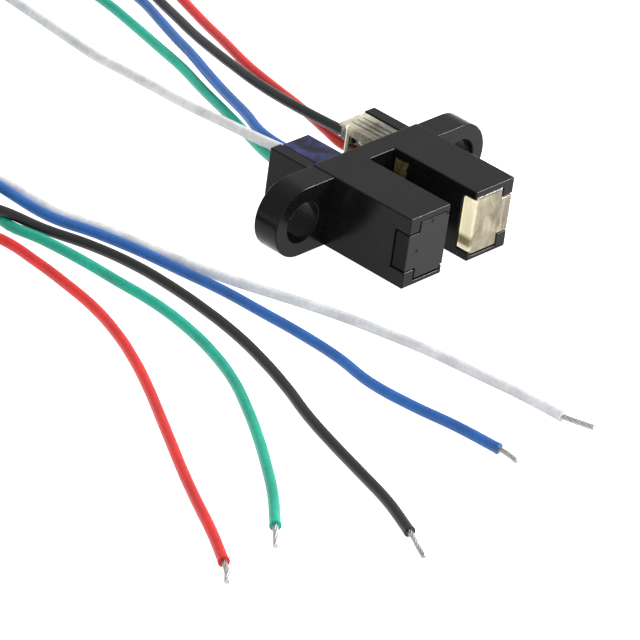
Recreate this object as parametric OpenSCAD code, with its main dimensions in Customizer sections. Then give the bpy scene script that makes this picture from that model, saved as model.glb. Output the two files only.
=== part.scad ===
// Slotted optical sensor with five flying leads.
// It lies on one flat side: X runs from ear to ear, the arm tips point to -Y,
// the leads leave towards +Y, and Z is the height above the table.
// The origin is the middle of the body's footprint, at the table.
// All sizes are in millimetres.

/* [Housing] */
// Width over the two arms
body_w = 12.7; // [12.3:0.1:13.6]
// Height of the housing as it lies
body_h = 6.5; // [6.4:0.05:7.2]
// Length of the housing along its arms, the rear rails included
body_len = 15.8; // [15.2:0.1:19]
// Width of the slot between the arms
slot_w = 3.18; // [2.6:0.02:3.4]
// Thickness of the wall between the slot floor and the ears' back face
bridge = 2; // [1.2:0.1:2.4]
// Thickness of the arms' outer walls and of the rear rails
side_wall = 1.25; // [1:0.05:1.4]
// Thickness of the top and bottom plates
plate = 0.58; // [0.4:0.02:0.8]
// Thickness of the wall between a shell and the slot
slot_wall = 0.3; // [0.2:0.02:0.4]
// Length of the rails behind the ears
rail_len = 4.7; // [4.2:0.1:6]

/* [Mounting ears] */
// Distance between the two mounting holes
hole_pitch = 19.05; // [18.5:0.05:24]
// Diameter of the mounting holes
hole_d = 3.6; // [3:0.1:4]
// Height of the ears, which is also the width of their round ends
ear_h = 6.35; // [5.8:0.05:6.4]
// Thickness of the ears
ear_t = 2.5; // [2.4:0.1:3.5]

/* [Windows] */
// Length of the slot window at the arm tips
tip_window = 1.35; // [1:0.05:2]
// Length of the slot window at the slot floor
floor_window = 1.6; // [1:0.1:2]
// Length of the window in each arm's outer wall
side_window = 1.55; // [1:0.05:2]
// Height of the corner tabs above and below that window
tab_h = 1.48; // [1.2:0.02:1.8]
// Height of the kerbs above and below the slot windows
kerb_h = 0.8; // [0.7:0.05:1]
// How far the raised panel stands proud of the slot wall
panel_proud = 0.08; // [0.04:0.02:0.12]
// Step from the kerb to the raised panel's edge
panel_step = 0.14; // [0.1:0.02:0.3]
// Drop of the tunnels' floor at their mouths
mouth_drop = 0.17; // [0.1:0.01:0.2]
// Length of that lower stretch of floor
mouth_len = 0.8; // [0.4:0.1:1.2]

/* [Optics] */
// Distance of the optical axis behind the arm tips
axis_back = 3.3; // [3:0.1:3.6]
// Height of both apertures
aperture_h = 1.9; // [1:0.1:2.5]
// Width of the emitter's aperture
emitter_slit = 1.27; // [0.5:0.01:1.5]
// Width of the sensor's aperture
sensor_slit = 0.51; // [0.25:0.01:1.3]

/* [Shells] */
// Clearance of a shell above, below and towards the slot
shell_gap = 0.04; // [0.02:0.01:0.06]
// Clearance of a shell towards the arm's outer wall
side_gap = 0.12; // [0.06:0.02:0.16]
// Clearance of a shell's bosses in the windows
boss_gap = 0.12; // [0.06:0.02:0.2]
// How far the outer bosses stop short of the arms' outer faces
boss_inset = 0.08; // [0.04:0.02:0.2]
// Thickness of a shell's upright walls
shell_wall = 0.45; // [0.35:0.01:0.5]
// Thickness of a shell's floor and roof
shell_roof = 0.35; // [0.3:0.01:0.5]
// Thickness of a shell's tip wall
shell_tip = 0.6; // [0.4:0.05:0.8]
// Thickness of a shell's rear wall, which holds the leads
shell_back = 0.4; // [0.3:0.05:0.6]
// How far a shell's roof reaches back over its rear wall
roof_overhang = 0.8; // [0.5:0.1:1]
// Height of the lip that the roof turns down over the open side
side_lip = 0.8; // [0.5:0.05:0.8]
// How far the shells stop short of the rails' ends
shell_inset = 0.15; // [0.1:0.05:0.6]
// Width of the flutes in the clear shell's roof behind the ears
flute_w = 0.26; // [0.1:0.02:0.3]
// Depth of those flutes
flute_depth = 0.05; // [0.04:0.01:0.15]

/* [Diode and photo chip] */
// Length of each moulded package along the arm
package_len = 4.4; // [3.8:0.1:4.6]
// Height of each package
package_h = 3.9; // [3.5:0.1:4.2]
// Radius of the moulded lens
lens_r = 1.1; // [0.9:0.05:1.2]
// How far the lens stands out
lens_rise = 0.45; // [0.3:0.05:0.5]
// Space between a lens and its shell
lens_space = 0.25; // [0.15:0.05:0.35]
// Distance between neighbouring legs of the photo chip
leg_pitch = 1.27; // [1.1:0.01:1.4]
// Width of a leg
leg_w = 0.5; // [0.4:0.05:0.6]
// Thickness of a leg
leg_t = 0.4; // [0.3:0.05:0.5]

/* [Lead holes] */
// Distance of every hole from the nearer side wall of its shell
hole_inset = 0.4; // [0.36:0.01:0.42]
// Drop of the black lead's hole below the roof
black_drop = 0.88; // [0.75:0.01:0.9]
// Drop of the red lead's hole below the roof
red_drop = 2.08; // [2.07:0.01:2.3]
// Drop of the white lead's hole below the roof
white_drop = 0.73; // [0.7:0.01:0.78]
// Drop of the green lead's hole below the roof
green_drop = 2.13; // [2.1:0.01:2.3]
// Drop of the blue lead's hole below the roof
blue_drop = 1.48; // [1.42:0.01:1.5]
// Thickness of the collars that hang from the roof round the upper leads
collar_t = 0.17; // [0.12:0.01:0.19]
// How far the collars stop short of the roof's rear edge
collar_inset = 0.1; // [0.05:0.05:0.3]

/* [Leads] */
// Diameter of a lead over its insulation
wire_d = 0.9; // [0.85:0.05:0.92]
// Diameter of the tinned conductor
conductor_d = 0.48; // [0.4:0.02:0.5]
// Clearance round a lead where it passes the shell
wire_gap = 0.05; // [0.03:0.01:0.1]
// Length of the soldered joint inside a shell
joint_len = 1.2; // [0.8:0.1:1.5]
// Largest diameter of that joint
joint_d = 0.7; // [0.6:0.05:0.75]
// Length of a lead's bare end
bare_len = 2.9; // [2:0.1:8]

/* [Coil] */
// Radius of the outer column of turns, at the middle of the five leads
coil_r = 17.1; // [16.9:0.1:17.2]
// Diameter of the five leads laid up together
bundle_d = 2.5; // [2.4:0.05:2.6]
// Number of layers in the coil
coil_layers = 3; // [2:1:3]
// Thickness of the cable tie's band
tie_t = 0.4; // [0.3:0.05:0.6]
// Width of the cable tie's band
tie_w = 2.5; // [2:0.1:3.5]

/* [Hidden] */
$fn = 48;
arm_reach = body_len - ear_t - rail_len;
tip_y = -body_len / 2;
ear_y = tip_y + arm_reach;
ear_back_y = ear_y + ear_t;
rail_end_y = ear_back_y + rail_len;
slot_floor_y = ear_back_y - bridge;
axis_y = tip_y + axis_back;
mid_z = body_h / 2;

// how far a cut runs past a face, and how far two joined blocks overlap
past = 1;
overlap = 0.1;

// the tunnel that holds a shell, on the +X side
tunnel_in = slot_w / 2 + slot_wall;
tunnel_out = body_w / 2 - side_wall;
tunnel_h = body_h - 2 * plate;

// a shell's outside and inside, on the +X side
shell_in = tunnel_in + shell_gap;
shell_out = tunnel_out - side_gap;
shell_low = plate + shell_gap;
shell_top = body_h - shell_low;
shell_end_y = rail_end_y - shell_inset;
wall_end_y = shell_end_y - roof_overhang;
room_in = shell_in + shell_wall;
room_out = shell_out - shell_wall;
room_low = shell_low + shell_roof;
room_top = shell_top - shell_roof;
room_tip_y = tip_y + shell_tip;
room_end_y = wall_end_y - shell_back;

// the packages and their legs
package_gap = 0.03;
package_out = room_out - package_gap;
package_t = package_out - room_in - lens_rise - lens_space;
package_in = package_out - package_t;
leg_x = (package_in + package_out) / 2;
leg_y = axis_y + package_len / 2;
bend_gap = 0.4;
bend_y = ear_back_y + bend_gap;
joint_gap = 0.1;
joint_end_y = room_end_y - joint_gap;
leg_end_y = joint_end_y - joint_len;

// where the leads pass the shells' rear walls
wire_r = wire_d / 2;
bore_d = wire_d + 2 * wire_gap;
near_x = room_in + hole_inset;
far_x = room_out - hole_inset;
black_hole = [near_x, room_top - black_drop];
red_hole = [near_x, room_top - red_drop];
white_hole = [-far_x, room_top - white_drop];
green_hole = [-far_x, room_top - green_drop];
blue_hole = [-near_x, room_top - blue_drop];

// where the flutes run, as shares of the room's width
flute_places = [0.22, 0.52, 0.82];
flute_start_y = ear_back_y + 0.3;
flute_end_y = shell_end_y - 0.5;

// small marks that the moulds leave
mark_d = 0.35;
mark_depth = 0.05;
floor_mark = [0.47, body_h - 0.7];
tip_marks = [[shell_out + 0.2, mid_z], [room_in + 1.3, shell_top - 0.3]];

// the coil of the five leads
coil_x = -22;
coil_y = 58;
coil_out = coil_r + bundle_d / 2 + 0.05;
coil_in = coil_r - 1.5 * bundle_d;
coil_top = tie_t + coil_layers * bundle_d;
tie_angle = -100;
tie_gap = 0.06;
tie_slack = 0.3;
tail_rise = 1.2;

// the leads' routes from the shells to the coil, as points along their middles
start = joint_end_y;
exit_y = shell_end_y + 0.55;
white_in = [[white_hole[0], start, white_hole[1]], [white_hole[0], exit_y, white_hole[1]],
    [-4.7, 15.3, 4.9], [-1.2, 33.7, 1.6], [0.9, 40.1, 0.6], [2.6, 51.3, 0.45], [2.2, 57.7, 0.45],
    [-2.5, 70.4, 1.7], [-6.4, 72.2, 1.6], [-10.4, 73.1, 1.7]];
green_in = [[green_hole[0], start, green_hole[1]], [green_hole[0], exit_y, green_hole[1]],
    [4.3, 28.3, 1.3], [8.4, 41.4, 0.45], [9.9, 47.5, 0.45], [7.8, 58.5, 0.6], [5.5, 63.5, 0.9],
    [-2.3, 72.2, 1.7], [-7.3, 73.4, 0.8], [-11.3, 73.8, 0.8]];
blue_in = [[blue_hole[0], start, blue_hole[1]], [blue_hole[0], exit_y, blue_hole[1]], [-2.3, 13.2, 4],
    [10.3, 37.4, 1.1], [13.3, 49.8, 0.7], [10, 60.8, 1], [7.6, 64.9, 1.2], [-2.3, 73.4, 2.7],
    [-8.2, 74, 2.5], [-12.2, 74.3, 2.6]];
black_in = [[black_hole[0], start, black_hole[1]], [black_hole[0], exit_y, black_hole[1]],
    [3.2, 16.7, 4.1], [7.1, 27.7, 2.8], [14.8, 44.3, 0.45], [14.6, 56.6, 0.6], [11.4, 63.7, 0.9],
    [4.6, 71.6, 0.45], [-9.2, 74.9, 0.8], [-13.1, 75, 0.8]];
red_in = [[red_hole[0], start, red_hole[1]], [red_hole[0], exit_y, red_hole[1]], [7.8, 23.2, 2.4],
    [16.2, 42.3, 0.45], [17.4, 54.6, 0.45], [14.8, 63.1, 0.45], [10, 69, 1], [-2.2, 74.5, 2.2],
    [-9.9, 75.3, 1.8], [-13.8, 75.4, 1.8]];

// the leads' routes from the coil to their bare ends
red_out = [[-38, 47.7, 7.3], [-37.1, 41.5, 7], [-35.5, 34.9, 5.3], [-32.3, 25.8, 2.2],
    [-29.9, 19.9, 0.7], [-28.2, 14.3, 0.45], [-29, 5.9, 0.45], [-33.5, -4.8, 0.45], [-47.7, -28, 0.45]];
green_out = [[-37.4, 46.8, 5.7], [-33.8, 37.8, 1.8], [-27.4, 32.2, 0.8], [-23.4, 26.8, 0.45],
    [-25.9, 18, 0.45], [-25.3, 9.2, 0.45], [-25.7, -2.6, 0.45], [-28.7, -11.8, 0.45],
    [-41.1, -26.9, 0.45]];
black_out = [[-38.4, 48.4, 6.4], [-37.1, 34.3, 2.5], [-33.4, 28.8, 1.6], [-26, 18.6, 1.5],
    [-23, 12, 0.6], [-22, 6.7, 0.45], [-23.2, -5.6, 0.45], [-31.5, -28.7, 0.45], [-33.3, -33.4, 0.45]];
blue_out = [[-36.8, 46, 7.4], [-34.6, 38.3, 6.7], [-26.1, 26.9, 3.5], [-23.4, 20.6, 0.9],
    [-21, 10.8, 0.6], [-19, -0, 0.45], [-19.1, -12.1, 0.45], [-20.1, -17.7, 0.45],
    [-18.8, -29.6, 0.45]];
white_out = [[-36.4, 45.5, 6.4], [-33.2, 36.6, 4], [-26.5, 29.7, 2.7], [-22.8, 24.4, 1.2],
    [-21.6, 17.3, 0.45], [-17.3, 1.4, 0.45], [-14.2, -9.1, 0.45], [-12, -17, 0.45], [-11, -29.3, 0.45]];

// Shapes that more than one piece uses

// A box between two corners
module block(low, high) {
    translate(low) cube(high - low);
}

// A bore or rod along Y, at x and z, from one y to another
module along_y(x, z, y0, y1, d) {
    translate([x, y0, z]) rotate([-90, 0, 0]) cylinder(h = y1 - y0, d = d);
}

// The direction of a route at one of its points
function heading(path, i) =
    let (last = len(path) - 1,
        ahead = path[min(i + 1, last)] - path[max(i - 1, 0)])
    ahead / norm(ahead);

// Eight points round a route, at one of its points
function ring(path, i, r, sides) =
    let (h = heading(path, i),
        s = cross(h, [0, 0, 1]),
        side = s / norm(s),
        up = cross(side, h))
    [for (k = [0:sides - 1])
        path[i] + r * cos(360 * k / sides) * side + r * sin(360 * k / sides) * up];

// A lead along a route, as one closed tube
module tube(path, r, sides = 8) {
    last = len(path) - 1;
    points = [for (i = [0:last]) each ring(path, i, r, sides)];
    walls = [for (i = [0:last - 1], k = [0:sides - 1])
        let (a = i * sides + k, b = i * sides + (k + 1) % sides)
        each [[a, a + sides, b], [b, a + sides, b + sides]]];
    first_cap = [for (k = [0:sides - 1]) k];
    last_cap = [for (k = [0:sides - 1]) last * sides + sides - 1 - k];
    polyhedron(points, concat(walls, [first_cap, last_cap]), convexity = 8);
}

// A rod from one point to another
module rod(from, to, d) {
    run = to - from;
    flat = norm([run[0], run[1]]);
    translate(from)
        rotate([0, 90 - atan2(run[2], flat), atan2(run[1], run[0])])
            cylinder(h = norm(run), d = d, $fn = 24);
}

// Housing

// Section of the ears and what joins them, across the holes
module ear_outline() {
    square([hole_pitch, ear_h], center = true);
    for (side = [-1, 1])
        translate([side * hole_pitch / 2, 0]) circle(d = ear_h, $fn = 96);
}

// The raised panel on the slot side of one arm
module slot_panel() {
    block([slot_w / 2 - panel_proud, tip_y + tip_window, kerb_h + panel_step],
        [tunnel_in, slot_floor_y - floor_window, body_h - kerb_h - panel_step]);
}

// Everything cut out of one arm, on the +X side
module arm_cuts(slit) {
    // the tunnel for the shell, open at both ends
    block([tunnel_in, tip_y - past, plate], [tunnel_out, rail_end_y + past, plate + tunnel_h]);
    // the window in the outer wall, between the corner tabs
    block([tunnel_out - past, tip_y - past, tab_h], [body_w / 2 + past, tip_y + side_window, body_h - tab_h]);
    // the slot windows at the tip and at the slot floor
    block([slot_w / 2 - past, tip_y - past, kerb_h], [tunnel_in + past, tip_y + tip_window, body_h - kerb_h]);
    block([slot_w / 2 - past, slot_floor_y - floor_window, kerb_h],
        [tunnel_in + past, slot_floor_y, body_h - kerb_h]);
    // the lower stretch of the tunnel's floor at its mouth
    block([tunnel_in, tip_y - past, plate - mouth_drop], [tunnel_out, tip_y + mouth_len, plate + overlap]);
    // the aperture on the optical axis
    block([slot_w / 2 - past, axis_y - slit / 2, mid_z - aperture_h / 2],
        [tunnel_in + past, axis_y + slit / 2, mid_z + aperture_h / 2]);
}

module housing() {
    color([0.13, 0.13, 0.13])
    difference() {
        union() {
            difference() {
                block([-body_w / 2, tip_y, 0], [body_w / 2, ear_back_y, body_h]);
                block([-slot_w / 2, tip_y - past, -past], [slot_w / 2, slot_floor_y, body_h + past]);
            }
            for (side = [0, 1])
                mirror([side, 0, 0]) {
                    slot_panel();
                    block([tunnel_out, ear_back_y - past, plate], [body_w / 2, rail_end_y, body_h - plate]);
                }
            translate([0, ear_back_y, mid_z]) rotate([90, 0, 0]) linear_extrude(ear_t) ear_outline();
        }
        // the ears' section stops short of the slot
        block([-slot_w / 2, ear_y - past, -past], [slot_w / 2, slot_floor_y, body_h + past]);
        arm_cuts(emitter_slit);
        mirror([1, 0, 0]) arm_cuts(sensor_slit);
        for (side = [-1, 1])
            along_y(side * hole_pitch / 2, mid_z, ear_y - past, ear_back_y + past, hole_d);
        // the mark of an ejector pin on the slot's floor
        along_y(floor_mark[0], floor_mark[1], slot_floor_y - past, slot_floor_y + mark_depth, mark_d);
    }
}

// Shells

// The outside of one shell, on the +X side, with the bosses that fill the windows
module shell_outside() {
    block([shell_in, tip_y, shell_low], [shell_out, wall_end_y, shell_top]);
    block([shell_in, wall_end_y - overlap, room_top], [shell_out, shell_end_y, shell_top]);
    block([shell_out - 0.2, tip_y, tab_h + boss_gap],
        [body_w / 2 - boss_inset, tip_y + side_window - boss_gap, body_h - tab_h - boss_gap]);
    block([slot_w / 2, tip_y, kerb_h + boss_gap],
        [shell_in + 0.2, tip_y + tip_window - boss_gap, body_h - kerb_h - boss_gap]);
    block([slot_w / 2, slot_floor_y - floor_window + boss_gap, kerb_h + boss_gap],
        [shell_in + 0.2, slot_floor_y - boss_gap, body_h - kerb_h - boss_gap]);
}

// A collar round one lead, from the rear wall, that joins the roof above it
module collar(hole) {
    collar_r = bore_d / 2 + collar_t;
    collar_end_y = shell_end_y - collar_inset;
    along_y(hole[0], hole[1], wall_end_y - overlap, collar_end_y, 2 * collar_r);
    block([hole[0] - collar_r, wall_end_y - overlap, hole[1]],
        [hole[0] + collar_r, collar_end_y, room_top + overlap]);
}

// One shell, on the +X side, with a bore for each lead in its rear wall
module shell(holes, collars, flutes) {
    difference() {
        union() {
            shell_outside();
            for (hole = collars)
                collar([abs(hole[0]), hole[1]]);
        }
        // the room for the package and its legs
        block([room_in, room_tip_y, room_low], [room_out, room_end_y, room_top]);
        // the open side behind the ears, through which the legs are soldered
        block([shell_in - past, ear_back_y + 0.15, room_low],
            [room_in + overlap, room_end_y, shell_top - side_lip]);
        // the flutes in the roof
        for (share = flutes) {
            flute_x = room_in + share * (room_out - room_in);
            block([flute_x - flute_w / 2, flute_start_y, shell_top - flute_depth],
                [flute_x + flute_w / 2, flute_end_y, shell_top + past]);
        }
        for (hole = holes)
            along_y(abs(hole[0]), hole[1], room_end_y - 0.5, shell_end_y + past, bore_d);
    }
}

module emitter_shell() {
    color([0.93, 0.92, 0.82, 0.5]) shell([black_hole, red_hole], [black_hole], flute_places);
}

module sensor_shell() {
    color([0.16, 0.15, 0.3])
    mirror([1, 0, 0])
        difference() {
            shell([white_hole, green_hole, blue_hole], [white_hole, blue_hole], []);
            for (mark = tip_marks)
                along_y(mark[0], mark[1], tip_y - past, tip_y + mark_depth, mark_d);
        }
}

// Diode, photo chip and their legs

// A moulded package on the +X side, with its lens towards the slot
module package() {
    block([package_in, axis_y - package_len / 2, mid_z - package_h / 2],
        [package_out, axis_y + package_len / 2, mid_z + package_h / 2]);
    // the lens is a cap of a ball, turned about the optical axis
    ball_r = (lens_r * lens_r + lens_rise * lens_rise) / (2 * lens_rise);
    translate([package_in, axis_y, mid_z])
        rotate([0, -90, 0])
            rotate_extrude()
                intersection() {
                    translate([0, lens_rise - ball_r]) circle(r = ball_r, $fn = 96);
                    square([lens_r, lens_rise]);
                }
}

// A leg from its package to its lead, with a crank that starts at bend,
// which goes up or down beside the package or, with across_first, beside the lead
module leg(from_z, to_x, to_z, bend, across_first = false) {
    half_w = leg_w / 2;
    half_t = leg_t / 2;
    crank = bend + leg_t;
    across_z = across_first ? from_z : to_z;
    up_x = across_first ? to_x : leg_x;
    block([leg_x - half_t, leg_y, from_z - half_w], [leg_x + half_t, crank, from_z + half_w]);
    block([up_x - half_t, bend, min(from_z, to_z) - half_w],
        [up_x + half_t, crank, max(from_z, to_z) + half_w]);
    block([min(leg_x, to_x) - half_t, bend, across_z - half_w],
        [max(leg_x, to_x) + half_t, crank, across_z + half_w]);
    block([to_x - half_t, bend, to_z - half_w], [to_x + half_t, leg_end_y, to_z + half_w]);
}

module emitter_diode() {
    color([0.75, 0.72, 0.66]) package();
}

module photo_chip() {
    color([0.12, 0.12, 0.16]) mirror([1, 0, 0]) package();
}

module anode_leg() {
    color("silver") leg(mid_z + leg_pitch, black_hole[0], black_hole[1], bend_y);
}

module cathode_leg() {
    color("silver") leg(mid_z - leg_pitch, red_hole[0], red_hole[1], bend_y);
}

module supply_leg() {
    color("silver") mirror([1, 0, 0]) leg(mid_z + leg_pitch, -white_hole[0], white_hole[1], bend_y);
}

module output_leg() {
    color("silver") mirror([1, 0, 0]) leg(mid_z, -blue_hole[0], blue_hole[1], bend_y, true);
}

// This one is cranked further back, where it is clear of the output leg
module ground_leg() {
    color("silver")
    mirror([1, 0, 0]) leg(mid_z - leg_pitch, -green_hole[0], green_hole[1], bend_y + 2 * leg_t);
}

// The conductor and its solder, between a leg's end and a lead's insulation
module joint(hole) {
    color([0.72, 0.72, 0.7])
    translate([hole[0], leg_end_y, hole[1]]) rotate([-90, 0, 0])
        rotate_extrude($fn = 24)
            polygon([[0, 0], [joint_d * 0.35, 0], [joint_d / 2, joint_len * 0.3],
                [joint_d / 2, joint_len * 0.55], [conductor_d / 2, joint_len * 0.85],
                [conductor_d / 2, joint_len], [0, joint_len]]);
}

module red_joint() joint(red_hole);
module black_joint() joint(black_hole);
module white_joint() joint(white_hole);
module blue_joint() joint(blue_hole);
module green_joint() joint(green_hole);

// Leads

module red_lead_in() color([0.85, 0.13, 0.11]) tube(red_in, wire_r);
module black_lead_in() color([0.13, 0.13, 0.13]) tube(black_in, wire_r);
module white_lead_in() color([0.92, 0.92, 0.94]) tube(white_in, wire_r);
module blue_lead_in() color([0.13, 0.34, 0.68]) tube(blue_in, wire_r);
module green_lead_in() color([0.1, 0.6, 0.47]) tube(green_in, wire_r);
module red_lead_out() color([0.85, 0.13, 0.11]) tube(red_out, wire_r);
module black_lead_out() color([0.13, 0.13, 0.13]) tube(black_out, wire_r);
module white_lead_out() color([0.92, 0.92, 0.94]) tube(white_out, wire_r);
module blue_lead_out() color([0.13, 0.34, 0.68]) tube(blue_out, wire_r);
module green_lead_out() color([0.1, 0.6, 0.47]) tube(green_out, wire_r);

// The tinned end of a lead, straight out of its cut insulation
module bare_end(path) {
    last = len(path) - 1;
    color("silver") rod(path[last], path[last] + bare_len * heading(path, last), conductor_d);
}

module red_end() bare_end(red_out);
module black_end() bare_end(black_out);
module white_end() bare_end(white_out);
module blue_end() bare_end(blue_out);
module green_end() bare_end(green_out);

// Coil and tie

// The outer shape of the wound leads
module lead_coil() {
    color([0.5, 0.5, 0.52])
    translate([coil_x, coil_y, tie_t])
        rotate_extrude($fn = 96)
            translate([coil_in, 0]) square([coil_out - coil_in, coil_top - tie_t]);
}

// A band round the coil with its square head on the outside
module cable_tie() {
    inner = coil_in - tie_gap;
    outer = sqrt(pow(coil_out, 2) + pow(tie_w / 2, 2)) + tie_gap;
    head = [2.6, 3.4, 3];
    band_end = outer + tie_t;
    head_low = coil_top / 2 - head[2] / 2;
    head_top = coil_top / 2 + head[2] / 2;
    tail_x = band_end + head[0] / 2;
    color([0.12, 0.12, 0.12])
    translate([coil_x, coil_y, 0]) rotate([0, 0, tie_angle]) {
        difference() {
            block([inner - tie_t - tie_slack, -tie_w / 2, 0],
                [band_end, tie_w / 2, coil_top + tie_gap + tie_t]);
            // the space that the coil fills
            block([inner - tie_slack, -tie_w, tie_t - tie_gap], [outer, tie_w, coil_top + tie_gap]);
        }
        block([outer + tie_t / 2, -head[1] / 2, head_low], [band_end + head[0], head[1] / 2, head_top]);
        // the cut tail of the band, through the head
        block([tail_x - tie_t / 2, -tie_w / 2, coil_top / 2],
            [tail_x + tie_t / 2, tie_w / 2, head_top + tail_rise]);
    }
}

housing();
emitter_shell();
sensor_shell();
emitter_diode();
photo_chip();
anode_leg();
cathode_leg();
supply_leg();
output_leg();
ground_leg();
red_joint();
black_joint();
white_joint();
blue_joint();
green_joint();
red_lead_in();
black_lead_in();
white_lead_in();
blue_lead_in();
green_lead_in();
lead_coil();
cable_tie();
red_lead_out();
black_lead_out();
white_lead_out();
blue_lead_out();
green_lead_out();
red_end();
black_end();
white_end();
blue_end();
green_end();
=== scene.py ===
# %% [markdown]
# # A slotted optical sensor with five flying leads
# The sensor is a small black housing with two arms. A clear shell in one arm holds a light
# emitter, a violet shell in the other holds the photo chip, and a flag that passes between the
# arms breaks the beam. Five leads run from the rear, are put away in a coil and come back as
# five loose ends with bare, tinned tips.
#
# The sizes come from a CAD model that is loaded first and never moved. Blender adds the
# camera, the leads, the small rounded edges of moulded plastic, the finishes and the light.

import math

import bmesh
import bpy
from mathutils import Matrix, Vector


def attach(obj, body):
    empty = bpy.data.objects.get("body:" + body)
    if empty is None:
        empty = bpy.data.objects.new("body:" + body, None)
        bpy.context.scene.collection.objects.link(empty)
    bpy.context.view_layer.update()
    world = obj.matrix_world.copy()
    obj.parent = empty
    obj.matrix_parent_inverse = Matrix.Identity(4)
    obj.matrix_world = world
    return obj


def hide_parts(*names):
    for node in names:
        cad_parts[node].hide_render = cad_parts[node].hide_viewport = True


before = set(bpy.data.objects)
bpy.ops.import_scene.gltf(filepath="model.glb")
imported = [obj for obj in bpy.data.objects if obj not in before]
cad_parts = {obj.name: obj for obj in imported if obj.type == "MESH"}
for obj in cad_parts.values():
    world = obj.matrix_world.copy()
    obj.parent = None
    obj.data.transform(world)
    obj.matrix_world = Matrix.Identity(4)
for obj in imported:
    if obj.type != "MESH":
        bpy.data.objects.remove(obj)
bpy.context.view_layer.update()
MM = 0.001  # every length below is written in millimetres and turned into metres by this

# %% [markdown]
# ## The camera
# The photograph was taken from far away with a long lens, so lines that run away from the
# camera stay almost parallel. A long lens is a narrow angle of view: 36 mm of film behind a
# 281 mm lens sees about 7 degrees. The camera is rolled a little, as the photograph is. Its
# place and turn were fitted to thirteen corners of the sensor and to the outlines of its ears
# and holes, because a camera set by eye would leave every size in doubt. It was then moved
# 0.1 mm along -Y, when the rails behind the ears were made 0.2 mm longer.

# %% Place the camera
film_width, focal_length = 36, 281.25
camera_place = (-283.77, -226.81, 199.08)
camera_turn = (59.878, -7.02, -46.665)  # degrees about X, Y and Z

scene = bpy.context.scene
lens = bpy.data.cameras.new("camera")
lens.lens = focal_length
lens.sensor_width = film_width
lens.clip_start = 0.01
lens.clip_end = 20
camera = bpy.data.objects.new("camera", lens)
camera.location = [v * MM for v in camera_place]
camera.rotation_euler = [math.radians(angle) for angle in camera_turn]
scene.collection.objects.link(camera)
scene.camera = camera
print("the camera stands", round(camera.location.length / MM), "mm from the sensor")

# %% [markdown]
# ## The leads: routes
# Each lead is one piece of 26 gauge wire, 610 mm long and 0.9 mm thick. It leaves the sensor
# straight, sinks to the table, is wound into the coil with the other four and comes back to
# its bare end. A route is a list of points in millimetres; Blender draws one smooth curve
# through them. A point with no height lies on the table.

# %% List the routes
wire_d = 0.9
floor_z = wire_d / 2
routes_in = {
    "white": [(-4.13, 6.45, 4.8), (-4.13, 7.3, 4.8), (-4.13, 8.3, 4.8), (-4.4, 10.56, 4.78),
              (-4.48, 15.15, 4.53), (-3.98, 19.68, 3.91), (-3.11, 24.16, 3.24),
              (-2.17, 28.61, 2.51), (-1.16, 33.03, 1.7), (0.06, 37.43, 1.08), (1.13, 41.9, 0.65),
              (1.86, 46.44, 0.46), (2.3, 51.5, 0.45), (2, 57.5, 0.5), (0.6, 63, 0.9),
              (-1.5, 67.8, 1.4), (-3.9, 71.5, 1.8), (-8.33, 73.21, 1.9), (-9.57, 73.31, 1.9),
              (-10.82, 73.42, 1.9)],
    "green": [(-4.13, 6.45, 3.4), (-4.13, 7.3, 3.4), (-4.08, 8.3, 3.4), (-3.37, 10.59, 3.07),
              (-1.32, 14.85, 2.42), (0.64, 19.17, 1.97), (2.42, 23.57, 1.6), (4.27, 27.95, 1.3),
              (5.81, 32.45, 0.98), (7.24, 37, 0.74), (8.48, 41.6, 0.56), (9.3, 46.8, 0.45),
              (9.2, 53, 0.45), (7.2, 60, 0.45), (3.4, 66, 0.6), (-3.32, 73.06, 1),
              (-7.31, 73.41, 1), (-11.29, 73.76, 1)],
    "blue": [(-2.78, 6.45, 4.05), (-2.78, 7.3, 4.05), (-2.78, 8.3, 4.05), (-2.33, 12.23, 3.97),
             (-0.43, 16.11, 3.6), (1.36, 20.06, 3.16), (3.26, 23.96, 2.72), (5.22, 27.83, 2.32),
             (7.14, 31.7, 1.76), (9.08, 35.58, 1.3), (10.9, 39.52, 0.91), (12.3, 44.7, 0.6),
             (12.6, 51.5, 0.5), (10.9, 58.5, 0.7), (7, 65, 1.4), (-3.18, 73.52, 2.45),
             (-7.66, 73.91, 2.45), (-12.15, 74.3, 2.45)],
    "black": [(2.78, 6.45, 4.65), (2.78, 7.3, 4.65), (2.78, 8.3, 4.65), (2.71, 10.5, 4.62),
              (3.08, 14.75, 4.33), (4.04, 18.88, 3.83), (5.35, 22.91, 3.31), (6.85, 26.87, 2.72),
              (8.54, 30.74, 2.07), (10.39, 34.55, 1.45), (12.16, 38.41, 0.93), (14.2, 43.5, 0.6),
              (15, 50.5, 0.45), (13.6, 58.5, 0.45), (9.6, 66, 0.5), (-2.18, 73.9, 1),
              (-7.66, 74.38, 1), (-13.14, 74.86, 1)],
    "red": [(2.78, 6.45, 3.45), (2.78, 7.3, 3.45), (2.83, 8.3, 3.46), (3.47, 10.29, 3.41),
            (5.09, 14.83, 3.08), (6.49, 19.44, 2.7), (8.06, 23.99, 2.29), (10.02, 28.39, 1.85),
            (11.96, 32.79, 1.35), (13.97, 37.17, 0.93), (16.1, 42.5, 0.6), (17.2, 50, 0.45),
            (16.2, 58, 0.5), (12.3, 66.3, 0.9), (-1.89, 74.17, 1.9), (-7.87, 74.69, 1.9),
            (-13.84, 75.22, 1.9)],
}
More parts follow.
